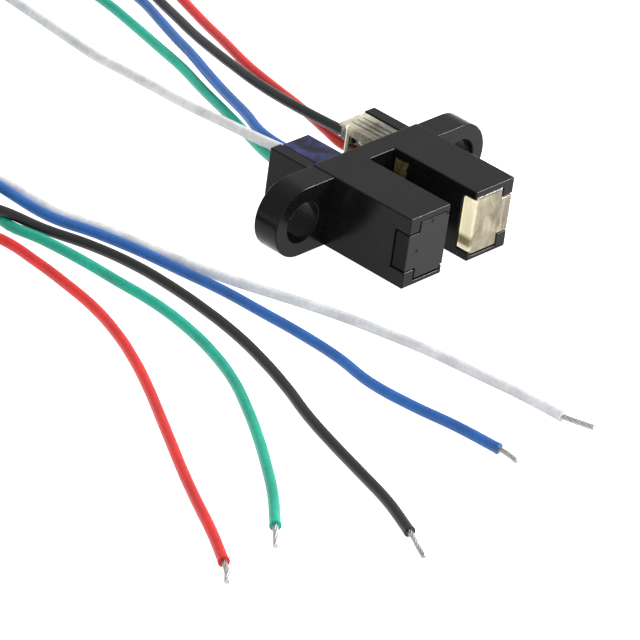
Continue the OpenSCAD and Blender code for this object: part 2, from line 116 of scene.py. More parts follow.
routes_out = {
    "red": [(-38.03, 47.7, 7.3), (-37.24, 43.18, 7.08), (-36.38, 38.65, 6.28),
            (-35.26, 34.13, 5.11), (-33.76, 29.6, 3.54), (-31.95, 25.08, 1.93),
            (-30.07, 20.56, 0.82), (-28.38, 16.03), (-28.54, 11.96), (-29.05, 7.91),
            (-29.82, 3.91), (-31.13, 0.05), (-32.86, -3.64), (-34.87, -7.19), (-37.04, -10.64),
            (-39.23, -14.08), (-41.42, -17.52), (-43.51, -21.02), (-45.54, -24.56),
            (-47.74, -27.99)],
    "green": [(-37.38, 46.76, 5.85), (-36.16, 42.69, 3.85), (-33.76, 38.62, 2.49),
              (-30.03, 34.55, 1.42), (-26.08, 30.48, 0.72), (-23.79, 26.41), (-24, 22.34),
              (-26.23, 18.27), (-25.64, 14.15), (-25.32, 10), (-25.28, 5.84), (-25.26, 1.67),
              (-25.82, -2.45), (-26.93, -6.46), (-28.56, -10.3), (-30.7, -13.87),
              (-33.04, -17.31), (-35.55, -20.64), (-38.19, -23.86), (-41.08, -26.86)],
    "black": [(-38.44, 48.37, 6.4), (-38.13, 44.26, 5.5), (-38.09, 40.15, 4.03),
              (-37.37, 36.04, 2.56), (-35.56, 31.92, 1.69), (-32.87, 27.81, 1.52),
              (-29.47, 23.7, 1.57), (-26.28, 18.51, 1.32), (-24.63, 15.15, 0.67),
              (-23.05, 11.38), (-22.33, 7.2), (-22.27, 2.95), (-22.64, -1.28), (-23.33, -5.48),
              (-24.46, -9.57), (-25.91, -13.57), (-27.6, -17.47), (-29, -21.47),
              (-30.27, -25.53), (-31.58, -29.57), (-33.34, -33.44)],
    "blue": [(-36.76, 45.96, 7.3), (-35.8, 41.76, 6.82), (-34.08, 37.57, 6.41),
             (-31.2, 33.37, 5.67), (-27.74, 29.17, 4.34), (-24.93, 24.97, 2.6),
             (-23.33, 20.78, 1.07), (-22.51, 16.58), (-21.27, 12.53), (-20.36, 8.39),
             (-19.8, 4.18), (-19.25, -0.02), (-19.08, -4.26), (-18.97, -8.5), (-19.17, -12.73),
             (-19.87, -16.91), (-19.68, -21.14), (-19.08, -25.34), (-18.82, -29.56)],
    "white": [(-36.39, 45.52, 6.4), (-35.23, 41.43, 5.14), (-33.08, 37.33, 4.21),
              (-29.83, 33.24, 3.28), (-26.18, 29.15, 2.28), (-23.34, 25.05, 1.35),
              (-21.9, 20.96, 0.68), (-21.59, 16.87), (-21.01, 15.06), (-19.91, 11.1),
              (-19.07, 6.63), (-17.33, 0.36), (-15.8, -3.73), (-14.35, -7.84), (-13.23, -12.06),
              (-12.32, -16.33), (-11.76, -20.66), (-11.22, -24.99), (-10.98, -29.33)],
}


def on_table(point):
    """A route's point with its height, which is the table's where none is given."""
    return point if len(point) == 3 else (*point, floor_z)


routes_out = {colour: [on_table(p) for p in route] for colour, route in routes_out.items()}
print({colour: len(routes_in[colour]) + len(routes_out[colour]) for colour in routes_in},
      "points beside the coil")

# %% [markdown]
# ## The leads: coil
# The five leads are laid up together, one in each corner of a five sided bundle, and the
# bundle is wound four and a quarter times. It starts in the outer column, moves in, climbs a
# layer, moves out and climbs again, as a lead does when somebody winds it round their fingers.
# The bundle also turns slowly about itself, so each lead is as often outside as inside and all
# five keep nearly the same length.

# %% Wind the coil
coil_x, coil_y = -22, 58
outer_r, inner_r = 17.0, 14.5
layer = (1.65, 4.15, 6.65)
start_angle, end_angle = 85, 190 + 4 * 360
wound = end_angle - start_angle
bundle_r = 0.8
corner = {"blue": 90, "red": 18, "black": -54, "green": -126, "white": 162}
# between which degrees of winding the bundle does each thing
goes_in, goes_out = (300, 360), (900, 960)
climbs, climbs_again = (600, 660), (1200, 1260)
early_twist, late_twist = (0, 420), (1140, wound)
early_twist_angle, late_twist_angle = 180, 216


def ease(value, low, high):
    """0 below low, 1 above high and a smooth step between."""
    t = min(max((value - low) / (high - low), 0), 1)
    return t * t * (3 - 2 * t)


def coil_point(colour, run):
    """Where a lead is after the bundle has been wound through run degrees."""
    inward = ease(run, *goes_in) - ease(run, *goes_out)
    radius = outer_r + (inner_r - outer_r) * inward
    height = (layer[0] + (layer[1] - layer[0]) * ease(run, *climbs)
              + (layer[2] - layer[1]) * ease(run, *climbs_again))
    turned = (early_twist_angle * ease(run, *early_twist)
              + late_twist_angle * ease(run, *late_twist))
    angle = math.radians(corner[colour] + turned)
    radius += bundle_r * math.cos(angle)
    height += bundle_r * math.sin(angle)
    way = math.radians(start_angle + run)
    return (coil_x + radius * math.cos(way), coil_y + radius * math.sin(way), height)


steps = 4 * 18
margin = 8  # degrees left free at both ends, where the routes join
coils = {colour: [coil_point(colour, margin + (wound - 2 * margin) * i / steps)
                  for i in range(steps + 1)] for colour in corner}
print("turns:", round(wound / 360, 2), "points in each lead's coil:", steps + 1)

# %% [markdown]
# ## The leads: curves
# A Bezier curve with automatic handles runs smoothly through its points, and a round bevel
# gives it its thickness. Round, solid and of one width is just what an extruded jacket is.
# The cutter squeezed the jacket's last half millimetre, so the curve's radius grows there.

# %% Draw the leads
squeezed_length, squeezed_share = 0.45, 1.06


def draw_lead(colour):
    """One lead from its shell, through the coil, to the end of its jacket."""
    route = routes_out[colour]
    last, before = Vector(route[-1]), Vector(route[-2])
    back = (before - last).normalized()
    flare = [tuple(last + back * squeezed_length), tuple(last)]
    points = routes_in[colour] + coils[colour] + route[:-1] + flare
    curve = bpy.data.curves.new(colour + "_lead", "CURVE")
    curve.dimensions = "3D"
    curve.resolution_u = 5
    curve.bevel_depth = wire_d / 2 * MM
    curve.bevel_resolution = 4
    curve.use_fill_caps = True
    spline = curve.splines.new("BEZIER")
    spline.bezier_points.add(len(points) - 1)
    for knot, point in zip(spline.bezier_points, points):
        knot.co = [v * MM for v in point]
        knot.handle_left_type = knot.handle_right_type = "AUTO"
    spline.bezier_points[-1].radius = squeezed_share
    lead = bpy.data.objects.new(colour + "_lead", curve)
    scene.collection.objects.link(lead)
    return lead


leads = {colour: draw_lead(colour) for colour in corner}
print("leads drawn:", sorted(leads))

# %% [markdown]
# ## Helpers for node trees
# Geometry and shader trees are both built by script. One helper adds a node, sets its
# properties and fills or links its inputs. The other makes an empty geometry group with the
# inputs that it will show on its modifier.

# %% Add nodes by script
def place(tree, kind, links=None, **values):
    """Add a node, set its properties, and link or set its inputs by name or number."""
    node = tree.nodes.new(kind)
    for key, value in values.items():
        setattr(node, key, value)
    for socket, source in (links or {}).items():
        if isinstance(source, bpy.types.NodeSocket):
            tree.links.new(source, node.inputs[socket])
        else:
            node.inputs[socket].default_value = source
    return node


def geometry_group(name, inputs):
    """A group with Geometry in and out, and the inputs {name: (socket type, default)}."""
    group = bpy.data.node_groups.new(name, "GeometryNodeTree")
    group.interface.new_socket("Geometry", in_out="INPUT", socket_type="NodeSocketGeometry")
    for label, (kind, value) in inputs.items():
        socket = group.interface.new_socket(label, in_out="INPUT", socket_type=kind)
        if value is not None:
            socket.default_value = value
    group.interface.new_socket("Geometry", in_out="OUTPUT", socket_type="NodeSocketGeometry")
    return group, group.nodes.new("NodeGroupInput"), group.nodes.new("NodeGroupOutput")


print("helpers for node trees:", place.__name__, "and", geometry_group.__name__)

# %% [markdown]
# ## The bare ends
# Each end is seven thin strands, one in the middle and six laid round it, dipped in tin. The
# strands are Geometry Nodes: the path is copied once per strand, each copy is pushed out from
# the middle and turned about it along its length, and a small circle is swept along it. The
# same group makes all five ends, and its inputs say how each differs.

# %% Build the strand group
path_points, strand_sides = 26, 10


def strand_group():
    """Strands laid round a path, as a geometry group that is given the path as edges."""
    group, given, result = geometry_group("tinned strands", {
        "Strands": ("NodeSocketInt", 7),
        "Strand Radius": ("NodeSocketFloat", 0.085 * MM),
        "Lay Radius": ("NodeSocketFloat", 0.15 * MM),
        "Turns": ("NodeSocketFloat", 0.8),
        "Tip Spread": ("NodeSocketFloat", 0.0),
        "Material": ("NodeSocketMaterial", None)})

    def calculate(operation, first, second):
        node = place(group, "ShaderNodeMath", {0: first, 1: second}, operation=operation)
        return node.outputs[0]

    path = place(group, "GeometryNodeMeshToCurve", {"Mesh": given.outputs["Geometry"]})
    even = place(group, "GeometryNodeResampleCurve", {
        "Curve": path.outputs["Curve"], "Count": path_points})
    copies = place(group, "GeometryNodeDuplicateElements", {
        "Geometry": even.outputs["Curve"], "Amount": given.outputs["Strands"]}, domain="SPLINE")
    number = copies.outputs["Duplicate Index"]
    along = place(group, "GeometryNodeSplineParameter").outputs["Factor"]
    # strand 0 stays in the middle, and the others stand round it and turn as they run
    around = calculate("DIVIDE", number, calculate("SUBTRACT", given.outputs["Strands"], 1.0))
    turns = calculate("ADD", around, calculate("MULTIPLY", along, given.outputs["Turns"]))
    angle = calculate("MULTIPLY", turns, 2 * math.pi)
    tip = calculate("MULTIPLY", calculate("POWER", along, 4.0), given.outputs["Tip Spread"])
    lay = calculate("MULTIPLY", given.outputs["Lay Radius"], calculate("ADD", tip, 1.0))
    out = calculate("MULTIPLY", lay, calculate("MINIMUM", number, 1.0))
    normal = place(group, "GeometryNodeInputNormal").outputs["Normal"]
    tangent = place(group, "GeometryNodeInputTangent").outputs["Tangent"]
    turned = place(group, "ShaderNodeVectorRotate", {
        "Vector": normal, "Axis": tangent, "Angle": angle}, rotation_type="AXIS_ANGLE")
    push = place(group, "ShaderNodeVectorMath", {
        0: turned.outputs["Vector"], "Scale": out}, operation="SCALE")
    moved = place(group, "GeometryNodeSetPosition", {
        "Geometry": copies.outputs["Geometry"], "Offset": push.outputs["Vector"]})
    ring = place(group, "GeometryNodeCurvePrimitiveCircle", {
        "Resolution": strand_sides, "Radius": given.outputs["Strand Radius"]})
    swept = place(group, "GeometryNodeCurveToMesh", {
        "Curve": moved.outputs["Geometry"], "Profile Curve": ring.outputs["Curve"],
        "Fill Caps": True})
    smooth = place(group, "GeometryNodeSetShadeSmooth", {"Geometry": swept.outputs["Mesh"]})
    real = place(group, "GeometryNodeRealizeInstances", {"Geometry": smooth.outputs["Geometry"]})
    worn = place(group, "GeometryNodeSetMaterial", {
        "Geometry": real.outputs["Geometry"], "Material": given.outputs["Material"]})
    group.links.new(worn.outputs["Geometry"], result.inputs["Geometry"])
    return group


strands = strand_group()
print("inputs of the strand group:",
      [i.name for i in strands.interface.items_tree if i.in_out == "INPUT"])

# %% [markdown]
# ## Shader groups: the grain
# Effects that several finishes share are built once as node groups. The first is the fine
# grain that a spark eroded mould leaves on plastic. The groups read Object coordinates, which
# here are metres from the origin, so a scale of 1000 means one wave in each millimetre.

# %% Build the grain group
slow_scale = 400.0


def shader_group(name, inputs, outputs):
    """An empty shader group with float inputs {name: default} and float outputs."""
    group = bpy.data.node_groups.new(name, "ShaderNodeTree")
    for label, value in inputs.items():
        socket = group.interface.new_socket(label, in_out="INPUT", socket_type="NodeSocketFloat")
        socket.default_value = value
    for label in outputs:
        group.interface.new_socket(label, in_out="OUTPUT", socket_type="NodeSocketFloat")
    return group, group.nodes.new("NodeGroupInput"), group.nodes.new("NodeGroupOutput")


def spread_around(tree, factor, low, high):
    """Map a noise factor, which stays near its middle, to the range from low to high."""
    return place(tree, "ShaderNodeMapRange", {
        "Value": factor, "From Min": 0.3, "From Max": 0.7,
        "To Min": low, "To Max": high}).outputs["Result"]


def moulded_grain():
    """Fine mould grain: a height for a bump, a roughness and a shade, slow with fine specks."""
    group, given, result = shader_group("moulded grain", {
        "Scale": 9000.0, "Roughness": 0.3, "Spread": 0.08, "Specks": 0.1},
        ["Height", "Roughness", "Shade"])
    where = place(group, "ShaderNodeTexCoord").outputs["Object"]
    fine = place(group, "ShaderNodeTexNoise", {
        "Vector": where, "Scale": given.outputs["Scale"],
        "Detail": 3.0, "Roughness": 0.6}).outputs["Fac"]
    slow = place(group, "ShaderNodeTexNoise", {
        "Vector": where, "Scale": slow_scale, "Detail": 2.0}).outputs["Fac"]
    rough = place(group, "ShaderNodeMath", {
        0: spread_around(group, slow, -0.5, 0.5), 1: given.outputs["Spread"],
        2: given.outputs["Roughness"]}, operation="MULTIPLY_ADD")
    speck = place(group, "ShaderNodeMath", {
        0: spread_around(group, fine, -1.0, 1.0), 1: given.outputs["Specks"],
        2: spread_around(group, slow, 0.85, 1.15)}, operation="MULTIPLY_ADD")
    group.links.new(fine, result.inputs["Height"])
    group.links.new(rough.outputs[0], result.inputs["Roughness"])
    group.links.new(speck.outputs[0], result.inputs["Shade"])
    return group


grain = moulded_grain()
print("grain group gives:", [s.name for s in grain.interface.items_tree if s.in_out == "OUTPUT"])

# %% [markdown]
# ## Shader groups: clouds and regions
# A clear moulding is cloudy inside, which is a slow noise drawn out upward. A region is a
# corner of space whose mask rises from 0 to 1 between two planes on each axis. It lets one
# part of a finish be darker or lighter. An axis that isn't asked for is 1 everywhere, because
# its planes lie one and two metres away on the negative side.

# %% Build the cloud and region groups
def cloudy():
    """Slow clouds inside a clear moulding, drawn out upward, as a mask from 0 to 1."""
    group, given, result = shader_group("cloudiness", {"Scale": 700.0}, ["Mask"])
    where = place(group, "ShaderNodeTexCoord").outputs["Object"]
    drawn = place(group, "ShaderNodeVectorMath", {
        0: where, 1: (1.0, 1.0, 0.45)}, operation="MULTIPLY")
    slow = place(group, "ShaderNodeTexNoise", {
        "Vector": drawn.outputs["Vector"], "Scale": given.outputs["Scale"],
        "Detail": 4.0, "Roughness": 0.55, "Distortion": 0.6}).outputs["Fac"]
    wide = place(group, "ShaderNodeMapRange", {"Value": slow, "From Min": 0.36, "From Max": 0.64})
    group.links.new(wide.outputs["Result"], result.inputs["Mask"])
    return group


def region():
    """A corner of space: the mask rises from 0 to 1 between two planes on each axis."""
    ends = [(axis, axis + " From", axis + " To") for axis in "XYZ"]
    everywhere = {label: metres for _, start, end in ends
                  for label, metres in ((start, -2.0), (end, -1.0))}
    group, given, result = shader_group("region", everywhere, ["Mask"])
    where = place(group, "ShaderNodeTexCoord").outputs["Object"]
    split = place(group, "ShaderNodeSeparateXYZ", {"Vector": where})
    mask = None
    for axis, start, end in ends:
        step = place(group, "ShaderNodeMapRange", {
            "Value": split.outputs[axis], "From Min": given.outputs[start],
            "From Max": given.outputs[end]}, interpolation_type="SMOOTHSTEP").outputs["Result"]
        mask = step if mask is None else place(
            group, "ShaderNodeMath", {0: mask, 1: step}, operation="MULTIPLY").outputs[0]
    group.links.new(mask, result.inputs["Mask"])
    return group


clouds, corner_of = cloudy(), region()
print("shader groups:", [g.name for g in bpy.data.node_groups if g.bl_idname == "ShaderNodeTree"])

# %% [markdown]
# ## Finishes: the recipe
# Every finish starts from the same recipe: a colour, shaded a little by the grain group, whose
# height also bumps the surface. The shader itself stays in the material, and the group only
# feeds its colour, roughness and normal.

# %% Write the recipe
bump_strength = 0.5


def mix(tree, blend, factor, first, second):
    """Blend two colours, each given as a socket or a colour, and return the result's socket."""
    node = tree.nodes.new("ShaderNodeMix")
    node.data_type = "RGBA"
    node.blend_type = blend
    for socket, value in (("Factor", factor), (6, first), (7, second)):
        if isinstance(value, bpy.types.NodeSocket):
            tree.links.new(value, node.inputs[socket])
        else:
            node.inputs[socket].default_value = (*value, 1) if isinstance(value, tuple) else value
    return node.outputs[2]


def finish(name, colour, grain_scale, depth, roughness, spread, specks=0.1, **shader):
    """A procedural finish: a shaded colour, an uneven roughness and a grainy surface."""
    material = bpy.data.materials.new(name)
    material.use_nodes = True
    tree = material.node_tree
    bsdf = tree.nodes["Principled BSDF"]
    texture = place(tree, "ShaderNodeGroup", node_tree=grain)
    for label, value in (("Scale", grain_scale), ("Roughness", roughness),
                         ("Spread", spread), ("Specks", specks)):
        texture.inputs[label].default_value = value
    bump = place(tree, "ShaderNodeBump", {
        "Height": texture.outputs["Height"], "Strength": bump_strength, "Distance": depth * MM})
    shaded = mix(tree, "MULTIPLY", 1.0, colour, texture.outputs["Shade"])
    tree.links.new(shaded, bsdf.inputs["Base Color"])
    tree.links.new(texture.outputs["Roughness"], bsdf.inputs["Roughness"])
    tree.links.new(bump.outputs["Normal"], bsdf.inputs["Normal"])
    for label, value in shader.items():
        bsdf.inputs[label.replace("_", " ")].default_value = value
    return material


print("each finish takes its grain from the group", grain.name)

# %% [markdown]
# ## Finishes: vinyl and black plastic
# The five jackets share one skin and differ in colour. The housing is almost black, and its
# grain shows as fine pale specks.

# %% Mix the opaque plastics
vinyl_skin = dict(grain_scale=2600, depth=0.012, roughness=0.42, spread=0.12,
                  Specular_IOR_Level=0.42)
vinyl_colours = {
    "red": (0.68, 0.014, 0.011),
    "black": (0.003, 0.003, 0.003),
    "white": (0.66, 0.67, 0.68),
    "blue": (0.011, 0.11, 0.39),
    "green": (0.0, 0.385, 0.26),
}
vinyl = {name: finish(name + " vinyl", colour, **vinyl_skin)
         for name, colour in vinyl_colours.items()}
black_plastic = finish("black moulding", (0.006, 0.006, 0.006), grain_scale=12000, depth=0.009,
                       roughness=0.18, spread=0.06, specks=0.9, Specular_IOR_Level=0.108)
print("vinyl colours:", list(vinyl), "and", black_plastic.name)

# %% [markdown]
# ## Finishes: clouds, painted shade and painted glow
# A clear moulding looks different in each place, because of what lies behind it and because
# it guides light to its edges. Following every ray through the thin shell would be slow and
# noisy. Instead the clouds and a few regions carry it: a painted region takes another colour,
# which is painted shade where it is darker and painted light where it is paler, and a glowing
# region is a painted glow that gives off a little light. They are painted, not worked out:
# their places and colours were set by comparing renders with the photograph. They depend only
# on the place on the part, never on the camera. A region has two places per axis, where its
# mask starts and stops rising, or four, where it also falls again. The places are in millimetres.

# %% Paint shade, light and glow on regions
def clouded(material, dark, pale, scale):
    """Multiply a finish's colour by clouds that run from a dark tint to a pale one."""
    tree = material.node_tree
    base = tree.nodes["Principled BSDF"].inputs["Base Color"]
    cloud = place(tree, "ShaderNodeGroup", node_tree=clouds)
    cloud.inputs["Scale"].default_value = scale
    tint = mix(tree, "MIX", cloud.outputs["Mask"], dark, pale)
    tree.links.new(mix(tree, "MULTIPLY", 1.0, base.links[0].from_socket, tint), base)


def mask_of(tree, planes):
    """The mask of a region, from its two or four places on each axis."""
    rise = {axis: places[:2] for axis, places in planes.items()}
    fall = {axis: places[:1:-1] for axis, places in planes.items() if len(places) == 4}
    masks = []
    for side in filter(None, (rise, fall)):
        node = place(tree, "ShaderNodeGroup", node_tree=corner_of)
        for axis, (start, end) in side.items():
            node.inputs[axis + " From"].default_value = start * MM
            node.inputs[axis + " To"].default_value = end * MM
        masks.append(node.outputs["Mask"])
    if len(masks) == 1:
        return masks[0]
    return place(tree, "ShaderNodeMath", dict(enumerate(masks)), operation="MULTIPLY").outputs[0]


def paint_region(material, colour, **planes):
    """Paint another colour over a region of a finish, mostly as painted shade and painted light.
    """
    tree = material.node_tree
    base = tree.nodes["Principled BSDF"].inputs["Base Color"]
    masked = mix(tree, "MIX", mask_of(tree, planes), base.links[0].from_socket, colour)
    tree.links.new(masked, base)


def paint_glow(material, colour, **planes):
    """Paint a glow on a region, standing in for light that a clear moulding guides there, on top
    of any painted before.
    """
    tree = material.node_tree
    glow = tree.nodes["Principled BSDF"].inputs["Emission Color"]
    light = mix(tree, "MIX", mask_of(tree, planes), (0.0, 0.0, 0.0), colour)
    if glow.links:
        light = mix(tree, "ADD", 1.0, glow.links[0].from_socket, light)
    tree.links.new(light, glow)
    tree.nodes["Principled BSDF"].inputs["Emission Strength"].default_value = 1.0


print("clouds come from", clouds.name, "and masks from", corner_of.name)

# %% [markdown]
# ## Finishes: the clear shell
# The painted shade and light come first, then the clouds over all of them, then the painted
# glows. The places follow the shell: its roof is at z 5.88 mm, its tip at y -7.9, and its side
# to the slot at x 1.59.

# %% Mix the clear plastic
clear_plastic = finish("cloudy clear moulding", (0.86, 0.81, 0.65), grain_scale=5000,
                       depth=0.003, roughness=0.16, spread=0.1, Transmission_Weight=0.6,
                       Specular_IOR_Level=0.3)
on_the_roof, on_the_tip = (5.6, 5.7), (-7.7, -7.85)  # along Z, and along Y
clear_painted_shade_and_light = [
    # painted shade on the side that looks into the dark slot
    ((0.45, 0.4, 0.2), dict(X=(1.9, 1.7), Y=(2.0, 1.0))),
    # painted shade on the roof over the dark rail, and a darker painted shade strip near its outer
    # edge
    ((0.36, 0.35, 0.32), dict(X=(1.6, 2.6), Y=(7.2, 4.8), Z=on_the_roof)),
    ((0.12, 0.115, 0.1), dict(X=(5.35, 5.45, 6.0, 6.1), Y=(7.4, 6.8), Z=on_the_roof)),
    # painted shade on the flutes' floors
    ((0.18, 0.17, 0.14), dict(X=(1.9, 2.1), Y=(3.0, 3.4), Z=(5.865, 5.85))),
    # painted shade on the end of the rear wall
    ((0.5, 0.48, 0.32), dict(X=(1.75, 1.65), Y=(6.9, 7.0))),
    # the tip's face: painted shade where the shell is deep behind it, and painted light in its
    # pale middle
    ((0.56, 0.5, 0.4), dict(X=(4.2, 5.0), Y=on_the_tip, Z=(1.8, 2.8))),
    ((1.0, 0.98, 0.88), dict(X=(2.9, 3.4, 3.9, 4.3), Y=on_the_tip, Z=(1.6, 2.6, 4.2, 4.9))),
]
clear_painted_glows = [
    # painted glow on the roof's rear, its outer edge, and a thin line at the end of the rear wall
    ((0.2, 0.19, 0.17), dict(Y=(5.6, 7.2), Z=on_the_roof)),
    ((0.45, 0.44, 0.41), dict(X=(6.05, 6.12), Z=(5.8, 5.84))),
    ((0.5, 0.51, 0.46), dict(X=(2.3, 2.1), Y=(6.8, 6.85, 7.0, 7.05))),
    # painted glow on the tip's side in the slot, above and below a darker band
    ((0.64, 0.61, 0.45), dict(X=(2.1, 1.7), Y=(-6.45, -6.75), Z=(1.9, 2.5))),
    ((0.6, 0.56, 0.42), dict(X=(2.1, 1.7), Y=(-6.45, -6.75), Z=(1.5, 1.2))),
]
for colour, planes in clear_painted_shade_and_light:
    paint_region(clear_plastic, colour, **planes)
clouded(clear_plastic, dark=(0.38, 0.34, 0.22), pale=(1.12, 1.1, 1.02), scale=550)
for colour, planes in clear_painted_glows:
    paint_glow(clear_plastic, colour, **planes)
print("the clear shell has", len(clear_painted_shade_and_light), "tints and", len(clear_painted_glows), "lights")

# %% [markdown]
# ## Finishes: the rest
# The violet shell's colour is painted almost black towards the tip, as painted shade where it is
# thick and little light comes through, and shows its violet at the rear, where light comes in.
# Its tip's face is matt and a little paler. Legs, joints and bare ends are dull tin.

# %% Mix the other finishes
violet_plastic = finish("violet moulding", (0.03, 0.03, 0.068), grain_scale=6000, depth=0.003,
                        roughness=0.16, spread=0.06, Specular_IOR_Level=0.07)
clouded(violet_plastic, dark=(0.45, 0.45, 0.4), pale=(1.3, 1.5, 1.9), scale=600)
# painted shade: from y 4 mm towards the tip the violet shell is painted almost black
paint_region(violet_plastic, (0.004, 0.004, 0.005), Y=(4.0, 1.0))
paint_region(violet_plastic, (0.034, 0.034, 0.035), Y=(-7.8, -7.88))
resin_skin = dict(grain_scale=5000, depth=0.003, roughness=0.2, spread=0.1)
clear_resin = finish("clear resin", (0.8, 0.75, 0.6), Transmission_Weight=0.3, **resin_skin)
dark_resin = finish("dark resin", (0.02, 0.015, 0.05), **resin_skin)
tin = finish("tin", (0.37, 0.365, 0.35), grain_scale=4000, depth=0.02, roughness=0.42,
             spread=0.2, Metallic=1.0)
nylon = finish("tie nylon", (0.012, 0.012, 0.012), grain_scale=5000, depth=0.006,
               roughness=0.35, spread=0.1)
print("finishes:", len(bpy.data.materials))

# %% [markdown]
# ## Grow the bare ends
# The path starts inside the jacket and ends at the tip. Blue and black were dipped longest and
# carry a small drop of tin. The strand group runs as a modifier, and its result is kept as a
# plain mesh.

# %% Helpers for the ends
def grow(name, mesh, group, **inputs):
    """Run a geometry group on a mesh and keep the result as a plain mesh object."""
    base = bpy.data.objects.new(name + "_base", mesh)
    scene.collection.objects.link(base)
    modifier = base.modifiers.new("grow", "NODES")
    modifier.node_group = group
    for item in group.interface.items_tree:
        key = item.name.replace(" ", "_")
        if item.item_type == "SOCKET" and item.in_out == "INPUT" and key in inputs:
            modifier[item.identifier] = inputs[key]
    graph = bpy.context.evaluated_depsgraph_get()
    grown = bpy.data.meshes.new_from_object(base.evaluated_get(graph))
    bpy.data.objects.remove(base)
    piece = bpy.data.objects.new(name, grown)
    scene.collection.objects.link(piece)
    return piece


def smooth_path(points, pieces=6):
    """A Catmull-Rom curve through the points, as a list."""
    p = [Vector(v) for v in points]
    p = [2 * p[0] - p[1]] + p + [2 * p[-1] - p[-2]]
    path = []
    for a, b, c, d in zip(p, p[1:], p[2:], p[3:]):
        for i in range(pieces):
            t = i / pieces
            path.append(0.5 * ((2 * b) + (c - a) * t + (2 * a - 5 * b + 4 * c - d) * t * t
                               + (3 * b - a - 3 * c + d) * t ** 3))
    return path + [p[-2]]


def tin_drop(mesh, at, along, radius):
    """Add a drop of tin, longer than wide and a little lopsided, to a mesh."""
    bm = bmesh.new()
    bm.from_mesh(mesh)
    drop = bmesh.ops.create_uvsphere(bm, u_segments=20, v_segments=14, radius=radius * MM)["verts"]
    turn = along.to_track_quat("Z", "Y").to_matrix()
    for vert in drop:
        v = vert.co.copy()
        v.z *= 1.25 if v.z < 0 else 0.95
        v.x += 0.12 * v.z
        vert.co = turn @ v + at * MM
        for face in vert.link_faces:
            face.smooth = True
    bm.to_mesh(mesh)
    bm.free()


print("a path through 5 points has", len(smooth_path([(i, 0, 0) for i in range(5)])), "points")

# %% [markdown]
# ## The five ends
# Each row says how one end differs: the points after the jacket's end, the strands' radius,
# the radius that they are laid at, how far they turn, how much they spread at the tip, and
# the radius of the drop, where there is one.

# %% Five ends
inside_jacket = 0.5
drop_sunk = 0.6  # how far the drop's middle lies back from the tip, as a share of its radius
ends = {
    "red": ([(-48.01, -28.39, 0.42), (-48.56, -29.13, 0.38), (-49.34, -29.87, 0.34)],
            0.1, 0.13, 0.6, 0.0, 0),
    "green": ([(-41.65, -27.45, 0.43), (-42.3, -28.1, 0.4), (-43.0, -28.75, 0.38)],
              0.1, 0.14, 0.5, -0.2, 0),
    "black": ([(-33.85, -34.4, 0.45), (-34.4, -35.35, 0.4), (-34.9, -36.3, 0.36)],
              0.08, 0.13, 1.3, -0.1, 0.2),
    "blue": ([(-18.8, -30.1, 0.45), (-18.85, -30.8, 0.42), (-19.0, -31.55, 0.4)],
             0.085, 0.13, 0.6, 0.0, 0.24),
    "white": ([(-10.75, -30.1, 0.42), (-10.4, -30.95, 0.38), (-10.1, -31.8, 0.36)],
              0.09, 0.15, 0.9, 0.0, 0),
}

end_pieces = {}
for colour, (points, strand_r, lay_r, turns, spread, drop_r) in ends.items():
    cut, before = Vector(routes_out[colour][-1]), Vector(routes_out[colour][-2])
    back = (before - cut).normalized()
    path = smooth_path([cut + back * inside_jacket, cut] + points)
    line = bpy.data.meshes.new(colour + "_end_path")
    line.from_pydata([v * MM for v in path], [(i, i + 1) for i in range(len(path) - 1)], [])
    end = grow(colour + "_bare_end", line, strands, Strand_Radius=strand_r * MM,
               Lay_Radius=lay_r * MM, Turns=turns, Tip_Spread=spread, Material=tin)
    if drop_r:
        tip, along = path[-1], path[-1] - path[-2]
        tin_drop(end.data, tip - along.normalized() * drop_r * drop_sunk, along, drop_r)
    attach(end, "root")
    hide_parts(colour + "_end")
    end_pieces[colour] = end
print({name: len(end.data.polygons) for name, end in end_pieces.items()})

# %% [markdown]
# ## Rounded edges
# No moulded edge is truly sharp. A thin rounded edge catches the light as a fine bright line,
# which is much of what the eye reads as plastic. Each CAD mesh is copied, its triangles are
# merged back into flat faces, and every sharp outer edge gets a round: a fine one beside narrow
# steps, and the full one elsewhere. Inner corners stay sharp. Long edges get a vertex near
# each end, so that the round's shading is held along them, and hardened normals keep the large
# faces flat.

# %% Helpers for the rounded edges
merge_distance = 0.002
flat_angle, sharp_angle = math.radians(0.5), math.radians(28)
narrow_step = 0.25  # a face that is narrower than this gets the fine round
bevel_segments = 3


def flat_faces(node_name):
    """A CAD node's mesh in millimetres, its triangles merged back into flat faces."""
    bm = bmesh.new()
    bm.from_mesh(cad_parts[node_name].data)
    bmesh.ops.scale(bm, vec=(1 / MM,) * 3, verts=bm.verts)
    bmesh.ops.remove_doubles(bm, verts=bm.verts, dist=merge_distance)
    bmesh.ops.dissolve_limit(bm, angle_limit=flat_angle, verts=bm.verts, edges=bm.edges)
    return bm


def weigh_edges(bm, fine_share, hold):
    """Say how much of the round each edge gets, and hold the long ones near their ends."""
    breadth = {face: face.calc_area() / max(edge.calc_length() for edge in face.edges)
               for face in bm.faces}
    weight = bm.edges.layers.float.new("bevel_weight_edge")
    for face in bm.faces:
        face.smooth = True
    for edge in bm.edges:
        if edge.calc_face_angle(0) > sharp_angle:
            if edge.is_convex:
                beside_step = min(breadth[face] for face in edge.link_faces) < narrow_step
                edge[weight] = fine_share if beside_step else 1.0
            else:
                edge.smooth = False
    for edge in [edge for edge in bm.edges if edge[weight] and edge.calc_length() > 4 * hold]:
        for vert in list(edge.verts):
            bmesh.utils.edge_split(edge, vert, hold / edge.calc_length())


